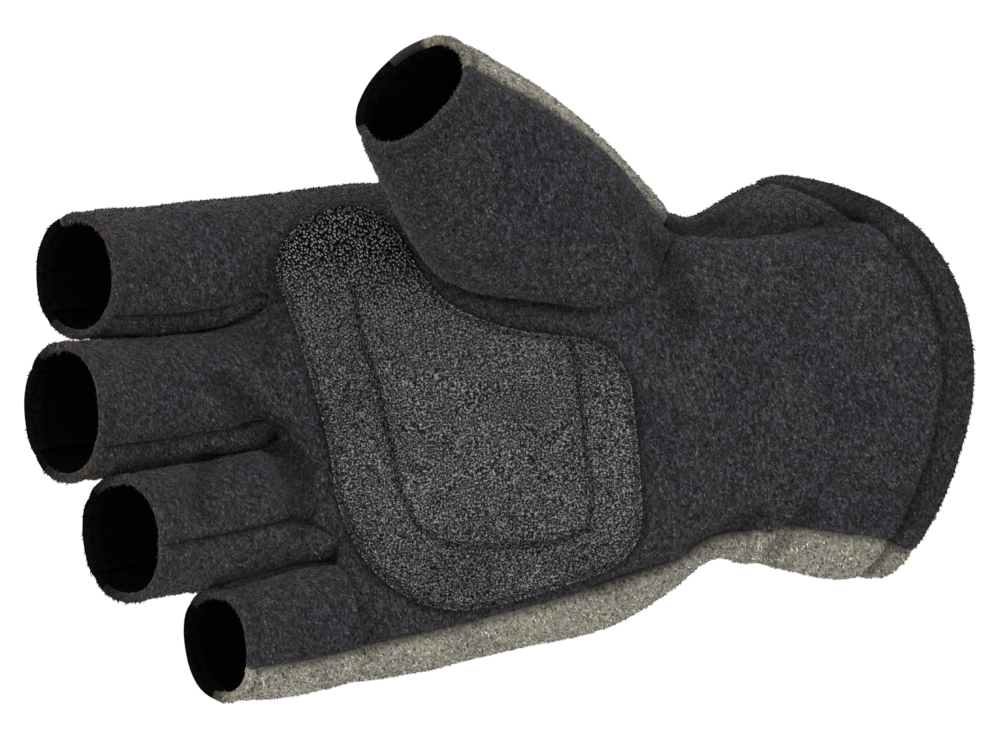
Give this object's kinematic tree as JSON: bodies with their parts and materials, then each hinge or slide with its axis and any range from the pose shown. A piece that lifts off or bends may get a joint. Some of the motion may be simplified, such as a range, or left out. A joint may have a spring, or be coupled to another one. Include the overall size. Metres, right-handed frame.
{
  "type": "fishing glove",
  "caption": "Half-finger fleece fishing glove for the right hand, with open finger and thumb ends, a flared cuff and a leatherette palm patch.",
  "frame": {"origin": "centre of the cuff opening", "axes": "+X out of the cuff, away from the fingers; +Y out of the back of the hand, away from the palm; +Z towards the thumb side"},
  "size_m": [0.2165, 0.0918, 0.1497],
  "materials": {
    "dark_fleece": "brushed charcoal fleece with a short fuzzy nap",
    "grey_fleece": "brushed mid-grey fleece with a short fuzzy nap",
    "brown_fleece": "brushed brown-black fleece",
    "leatherette": "pebbled black leatherette with a satin sheen"
  },
  "bodies": {
    "root": {"palm_panel": "dark_fleece", "back_panel": "grey_fleece", "fourchette_index_middle": "brown_fleece", "fourchette_middle_ring": "brown_fleece", "fourchette_ring_little": "brown_fleece", "thumb_front": "dark_fleece", "thumb_back": "grey_fleece", "palm_patch": "leatherette"}
  },
  "joints": []
}
